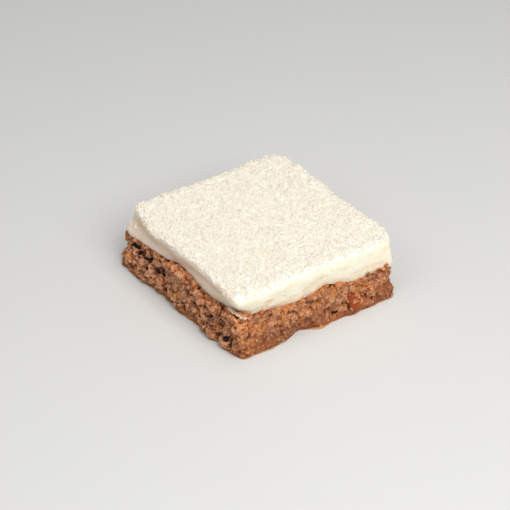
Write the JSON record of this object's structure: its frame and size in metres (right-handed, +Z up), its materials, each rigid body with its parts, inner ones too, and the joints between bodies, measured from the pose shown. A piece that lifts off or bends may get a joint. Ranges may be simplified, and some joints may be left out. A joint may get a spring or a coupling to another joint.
{
  "type": "semolina custard cake",
  "caption": "Square portion of nut sponge under a set layer of semolina custard, covered with fine coconut. It is cut by hand and rests on its flat underside.",
  "frame": {"origin": "centre of the footprint's box, on the flat underside of the sponge", "axes": "+Z up. +X runs from the front corner to the right corner and +Y from the front corner to the left corner, as the cake is seen in the picture"},
  "size_m": [0.0818, 0.0816, 0.0293],
  "materials": {
    "sponge": "moist, coarse brown nut sponge crumb with dark hollows and tan nut pieces",
    "custard": "smooth cream-white semolina custard under a bed of fine off-white coconut"
  },
  "bodies": {
    "root": {"sponge_base": "sponge", "custard_layer": "custard"}
  },
  "joints": []
}
